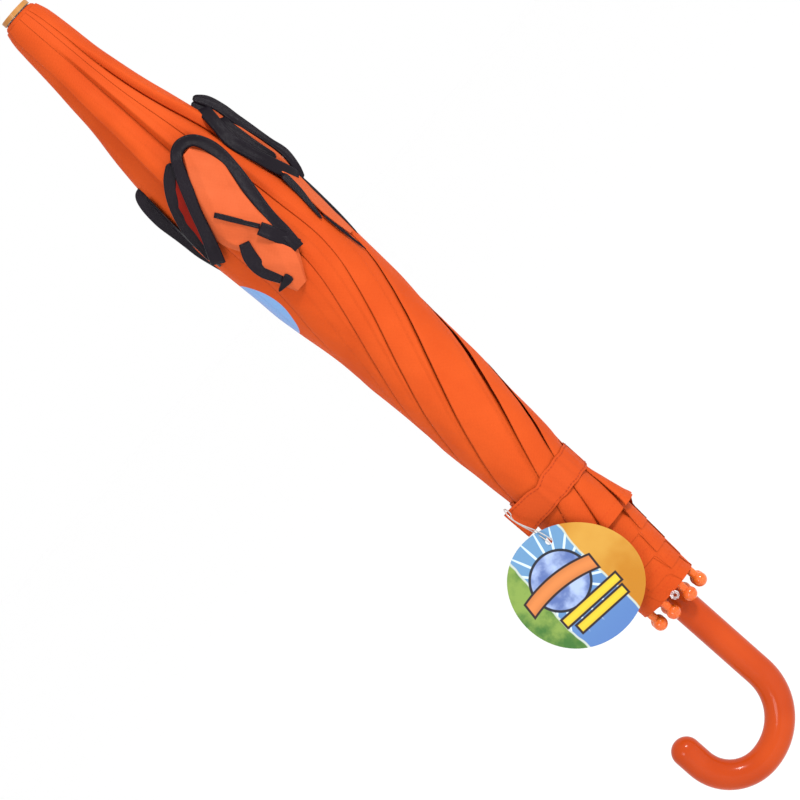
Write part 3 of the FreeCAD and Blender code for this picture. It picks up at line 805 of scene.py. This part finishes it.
def stitches(name, lines, body, material):
    """Rows of stitches along lines, in millimetres, as one plain mesh that rides on a body."""
    tree = bpy.data.node_groups.get("stitches") or stitch_tree()
    data = bpy.data.curves.new(name + "_path", "CURVE")
    data.dimensions = "3D"
    for line in lines:
        spline = data.splines.new("POLY")
        spline.points.add(len(line) - 1)
        for point, at in zip(spline.points, line):
            point.co = (*(MM * c for c in at), 1)
    path = bpy.data.objects.new(name + "_path", data)
    scene.collection.objects.link(path)
    modifier = path.modifiers.new("stitches", "NODES")
    modifier.node_group = tree
    values = {**STITCH_SIZES, "Material": MATERIALS[material]}
    for item in tree.interface.items_tree:
        if item.item_type == "SOCKET" and item.name in values:
            modifier[item.identifier] = values[item.name]
    bpy.context.view_layer.update()
    sewn = path.evaluated_get(bpy.context.evaluated_depsgraph_get())
    mesh = bpy.data.meshes.new_from_object(sewn)
    mesh.name = name
    made = bpy.data.objects.new(name, mesh)
    scene.collection.objects.link(made)
    bpy.data.objects.remove(path)
    bpy.data.curves.remove(data)
    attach(made, body)
    return made


def rise(x, z, lift, crumple):
    """How far creased flap cloth stands off the bundle."""
    height = lift + 0 * x
    for slope, pitch, offset, size in crumple:
        phase = (x + slope * z + offset) / pitch
        height = height + size * np.abs(((phase % 1) - 0.5) * 2)
    return height


def patch(name, left, right, body, material, lift, crumple, rows=60, columns=40):
    """A piece of flap cloth between two edges, each (z, x) stations, creased into facets."""
    top, bottom = left[0][0], left[-1][0]
    z = np.linspace(top, bottom, rows)
    share = np.linspace(0, 1, columns)
    x = through(z, left)[:, None] * (1 - share) + through(z, right)[:, None] * share
    zz = z[:, None] + 0 * x
    tucked = smooth(share, 0.0, 0.12) * (1 - smooth(share, 0.88, 1.0))
    y = drape(x, zz, 0.9) - rise(x, zz, lift, crumple) * tucked
    points = np.stack([x, y, zz], 2).reshape(-1, 3)
    made = new_object(name, points, grid_faces(rows, columns), MATERIALS[material])
    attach(made, body)
    return made


def declare_flap(node):
    """Hides the frame's own flap piece; the bound cloth pieces stand in for it."""
    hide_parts(node)


# The front flap's lift, and its creases: slope, spacing, offset and height of each set.
CRUMPLE = (0.9, ((0.9, 36.0, 6.0, 3.0), (-0.5, 27.0, 3.0, 2.4), (0.15, 15.0, 9.0, 0.7)))


def front_flap():
    """The front flap: a bound arch with a creased lining, its lower end crumpled."""
    body, node = "panel_6", "fin_front"
    arch = [(-28.9, 346.0, 8.6), (-21.7, 360.5), (-15.5, 374.8), (-9.4, 386.6), (-4.6, 395.6),
            (-0.4, 401.4), (5.5, 403.6), (12.0, 400.6), (15.4, 393.0), (16.4, 383.0),
            (15.2, 372.5), (12.6, 361.0), (10.2, 349.5), (8.4, 339.0), (7.6, 329.5),
            (6.4, 319.0)]
    pieces = [
        binding("flap_front_arch", arch, body, lift=4.2, width=7.0, square=True),
        binding("flap_front_loop", [(-4.6, 400.4), (-13.4, 394.6), (-20.8, 385.2),
                                    (-25.6, 372.5), (-28.2, 360.5, 5.5), (-29.6, 350.0, 4.5)],
                body, lift=2.0, width=7.0),
        binding("flap_front_brace", [(-10.7, 365.0), (-5.2, 354.4), (1.0, 342.5)], body,
                lift=0.5, width=3.0, thick=0.4, over=CRUMPLE, square=True),
        binding("flap_front_turn", [(0.2, 342.0), (3.8, 331.6), (7.2, 320.0)], body,
                lift=0.7, width=7.5, over=CRUMPLE, square=True),
        binding("flap_front_corner", [(-11.4, 343.0, 6.0), (-15.0, 334.5, 8.0),
                                      (-15.6, 325.5, 8.5), (-12.4, 314.5, 5.0)], body,
                lift=0.7, over=CRUMPLE, square=True),
        binding("flap_front_point", [(-8.0, 312.6, 5.5), (-12.6, 312.0, 4.6),
                                     (-18.4, 311.2, 1.4)], body, lift=0.6, thick=0.5,
                over=CRUMPLE),
    ]
    # Painted shade: this darker red sheet inside the flap's fold stands for the shade there.
    inside = patch("flap_front_painted_shade", [(398, -8.0), (385, -21.0), (366, -26.0), (349, -28.0)],
                   [(398, -4.0), (385, -12.5), (366, -20.5), (349, -27.0)], body, "inside",
                   0.6, ((0.5, 9.0, 0.0, 0.5),), rows=30, columns=14)
    lining = patch("flap_front_cloth", [(399, 2.0), (385, -8.5), (368, -16.0), (352, -20.0),
                                        (338, -15.5), (322, -17.5), (304, -12.0)],
                   [(399, 8.0), (385, 15.5), (368, 13.0), (352, 9.5), (338, 8.0),
                    (322, 7.0), (304, -4.0)], body, "lining", *CRUMPLE)
    declare_flap(node)


def right_flap():
    """The right flap, seen nearly edge-on, with its trailing streaks."""
    body, node = "panel_8", "fin_right"
    outer = [(29.6, 416.4, 4.0), (33.6, 409.5, 6.0), (35.8, 400.5, 6.5), (36.6, 391.0, 6.0),
             (38.4, 379.7, 5.0), (39.8, 368.5, 4.5), (40.8, 359.0, 5.0), (39.0, 349.0, 5.0),
             (36.4, 342.5, 4.0)]
    pieces = [
        binding("flap_right_outer", outer, body, front=-6.0, width=6.5),
        binding("flap_right_inner", [(28.8, 415.0), (28.4, 405.0), (27.0, 395.1),
                                     (25.8, 385.4), (27.6, 374.6), (30.4, 362.5),
                                     (33.2, 352.2), (36.4, 343.4)], body, lift=1.6,
                width=7.8),
        binding("flap_right_middle", [(32.6, 406.0), (31.2, 394.5), (32.0, 382.5),
                                      (32.8, 372.0), (34.6, 360.4)], body, lift=2.6,
                width=5.5),
        binding("flap_right_tail", [(33.8, 350.0, 7.0), (34.8, 336.0, 5.0), (35.0, 323.3, 3.6),
                                    (34.5, 311.6, 2.6), (33.6, 299.5, 1.6)], body,
                front=-7.0, thick=0.6),
        binding("flap_right_streak", [(30.8, 352.0, 4.5), (29.8, 338.8, 4.0),
                                      (28.3, 329.2, 3.0), (26.7, 320.0, 1.2)], body,
                lift=1.2, thick=0.5),
        binding("flap_right_wisp", [(28.9, 321.0, 1.2), (29.4, 308.1, 1.6),
                                    (30.4, 291.0, 1.0)], body, lift=0.9, thick=0.4),
    ]
    cloth = patch("flap_right_cloth", [(404, 30.0), (385, 28.0), (365, 31.0), (345, 31.5),
                                       (322, 29.5), (303, 31.0)],
                  [(404, 34.0), (385, 36.0), (365, 38.5), (345, 37.0), (322, 35.0),
                   (303, 33.6)], body, "lining", 0.8, ((0.6, 14.0, 0.0, 0.9),), rows=46,
                  columns=12)
    declare_flap(node)


def left_flap():
    """The left flap, of which a thin bound crescent shows."""
    body, node = "panel_4", "fin_left"
    outer = [(-26.0, 405.0, 3.0), (-29.6, 402.2, 6.0), (-31.0, 396.0, 8.8),
             (-31.4, 386.5, 9.2), (-31.2, 376.5, 9.0), (-30.8, 365.5, 8.0),
             (-30.4, 355.0, 6.5), (-29.6, 341.0, 3.0)]
    pieces = [binding("flap_left_outer", outer, body, front=-4.0)]
    cloth = patch("flap_left_cloth", [(398, -30.0), (380, -31.0), (360, -31.0), (344, -30.0)],
                  [(398, -27.8), (380, -29.0), (360, -29.5), (344, -28.5)], body, "binding",
                  0.4, ((0.6, 14.0, 0.0, 0.4),), rows=40, columns=10)
    declare_flap(node)


# Strap, tag and small parts ------------------------------------------------------------------
# The strap starts at this angle and each of its three lengths turns through this arc.
STRAP_ROOT, STRAP_ARC = 202.5, 104.0
STRAP_Z, STRAP_WIDTH, STRAP_R, STRAP_TAIL = 128.6, 18.0, 22.4, 22.5


def strap():
    """The tie strap in three lengths, drawn tight round the waist, with its free tail."""
    for number in range(1, 4):
        end = STRAP_ROOT - STRAP_ARC * (number - 1)
        angles = np.linspace(end + 1.0, end - STRAP_ARC - 1.0, 64)
        turn = np.radians(angles)
        middle = through(STRAP_Z, SHIFT)
        ripple = 0.22 * np.sin(turn * 9) + 0.15 * np.sin(turn * 23)
        x = middle + (STRAP_R + ripple) * np.cos(turn)
        y = (STRAP_R + ripple) * np.sin(turn)
        face = np.stack([np.cos(turn), np.sin(turn), 0 * turn], 1)
        if number == 3:
            away = np.array([math.sin(turn[-1]), -math.cos(turn[-1])])
            reach = np.linspace(0.8, STRAP_TAIL, 22)
            x = np.concatenate([x, x[-1] + away[0] * reach])
            y = np.concatenate([y, y[-1] + away[1] * reach])
            face = np.vstack([face, np.repeat(face[-1:], len(reach), 0)])
        run = np.linspace(0, 1, len(x))
        dip = 2.4 * bump(x, -6.0, 6.0) * (y < 0)
        height = STRAP_Z + 0.9 * np.sin(run * 7 + number) * (number < 3) + 0.02 * x * (y < 0)
        widths = STRAP_WIDTH - dip - 0.5 * np.sin(run * 31)
        edges = []
        for side in (-1, 1):
            reach = (widths / 2 - 1.6) * side
            edge = np.stack([x, y, height - dip * 0.4 + reach], 1) + face * 0.36
            edges.append(edge[3:-3])
        row = stitches("strap_stitches_%d" % number, edges, "strap_%d" % number,
                       "stitch")
        made = sweep("strap_band_%d" % number, np.stack([x, y, height - dip * 0.4], 1), widths,
                     face, MATERIALS["strap"], thick=0.3, sides=16, square=True)
        set_uv(made, *strap_uv(made))
        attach(made, "strap_%d" % number)
        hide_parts("strap_%d" % number)


def strap_uv(made):
    """Millimetres round and up the strap, for its weave."""
    at = np.array([tuple(v.co) for v in made.data.vertices]) / MM
    return np.degrees(np.arctan2(at[:, 1], at[:, 0])) * 0.4, at[:, 2]


LOOP_ROUTE = [(-23.5, -32.1, 109.8), (-23.4, -33.1, 115.0), (-27.53, -21.12, 130.5),
              (-26.97, -19.41, 134.5), (-25.58, -15.23, 134.5), (-25.71, -15.61, 139.5),
              (-27.03, -19.60, 139.7), (-28.00, -22.54, 131.5), (-21.4, -35.1, 115.5),
              (-21.6, -32.3, 110.4)]
LOOP_DIAMETER = 0.7


def tag_loop():
    """The clear thread that ties the card to the strap's tail."""
    data = bpy.data.curves.new("tag_thread", "CURVE")
    data.dimensions = "3D"
    spline = data.splines.new("NURBS")
    spline.points.add(len(LOOP_ROUTE) - 1)
    for point, at in zip(spline.points, LOOP_ROUTE):
        point.co = (*(MM * c for c in at), 1)
    spline.order_u = 3
    spline.use_endpoint_u = True
    data.bevel_depth = LOOP_DIAMETER * MM / 2
    data.bevel_resolution = 3
    data.resolution_u = 8
    data.materials.append(MATERIALS["thread"])
    made = bpy.data.objects.new("tag_thread", data)
    scene.collection.objects.link(made)
    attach(made, "strap_3")
    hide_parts("tag_loop")


def card():
    """The hang tag: an egg-shaped card with a punched hole, slightly bowed."""
    tilt = math.radians(CARD_TILT)
    steps, rings = 96, 14
    hole_x, hole_z, hole = HOLE_X - TAG_X, HOLE_Z - TAG_Z, HOLE_RADIUS
    verts = []
    for side in (-CARD_HALF_THICK, CARD_HALF_THICK):
        for ring in range(rings):
            share = ring / (rings - 1)
            for k in range(steps):
                turn = 2 * math.pi * k / steps
                wide, tall = CARD_WIDE * math.cos(turn), CARD_TALL * math.sin(turn)
                wide *= 1 + 0.06 * math.sin(turn)
                edge_x = CARD_MIDDLE[0] + wide * math.cos(tilt) + tall * math.sin(tilt)
                edge_z = CARD_MIDDLE[1] - wide * math.sin(tilt) + tall * math.cos(tilt)
                start_x = hole_x + hole * math.cos(turn - tilt)
                start_z = hole_z + hole * math.sin(turn - tilt)
                x = start_x + (edge_x - start_x) * share
                z = start_z + (edge_z - start_z) * share
                bow = 0.0009 * x * x - 0.4 * math.exp(-((x - hole_x) ** 2
                                                        + (z - hole_z) ** 2) / 200)
                verts.append((TAG_X + x, TAG_Y + side + bow, TAG_Z + z))
    faces = []
    count = rings * steps
    for base in (0, count):
        faces += [tuple(base + i for i in face)
                  for face in grid_faces(rings, steps, closed=True)]
    for first in (0, (rings - 1) * steps):
        for k in range(steps):
            after = (k + 1) % steps
            faces.append((first + k, first + after, count + first + after, count + first + k))
    made = new_object("card", verts, faces, MATERIALS["tag"], shade=False)
    normals_outside(made)
    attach(made, "tag")
    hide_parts("tag")


def eyelet():
    """The small faceted clear bead at the hem."""
    bead = lathe("hem_bead", [(1.1, -1.2), (2.2, -0.9), (2.7, 0.0), (2.2, 0.9), (1.1, 1.2)],
                 MATERIALS["clear"], steps=8, closed=True)
    turn = Matrix.Rotation(math.pi / 2, 4, "X")
    bead.data.transform(Matrix.Translation(Vector((0.6, -22.6, 38.6)) * MM) @ turn)
    for face in bead.data.polygons:
        face.use_smooth = False
    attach(bead, "rib_6")


def dress_frame():
    """Materials of the frame's own pieces, by their record slot."""
    finish = {"handle_plastic": "handle", "tip_plastic": "tips", "shaft_steel": "shaft",
              "rib_steel": "ribs", "wire_steel": "wire", "hub_plastic": "hub",
              "cap_plastic": "cap", "clear_plastic": "clear", "tag_card": "tag",
              "strap_fabric": "strap", "fin_fabric": "lining", "canopy_fabric": "canopy"}
    for part in frame["record"]["subparts"]:
        made = frame["nodes"][part["node"]]
        made.data.materials.clear()
        made.data.materials.append(MATERIALS[finish[part["material_slot"]]])


camera()
make_materials()
studio()
dress_frame()
for number in range(1, GORES + 1):
    gore(number, MATERIALS["canopy"])
crown_cloth()
front_flap()
right_flap()
left_flap()
strap()
card()
tag_loop()
eyelet()
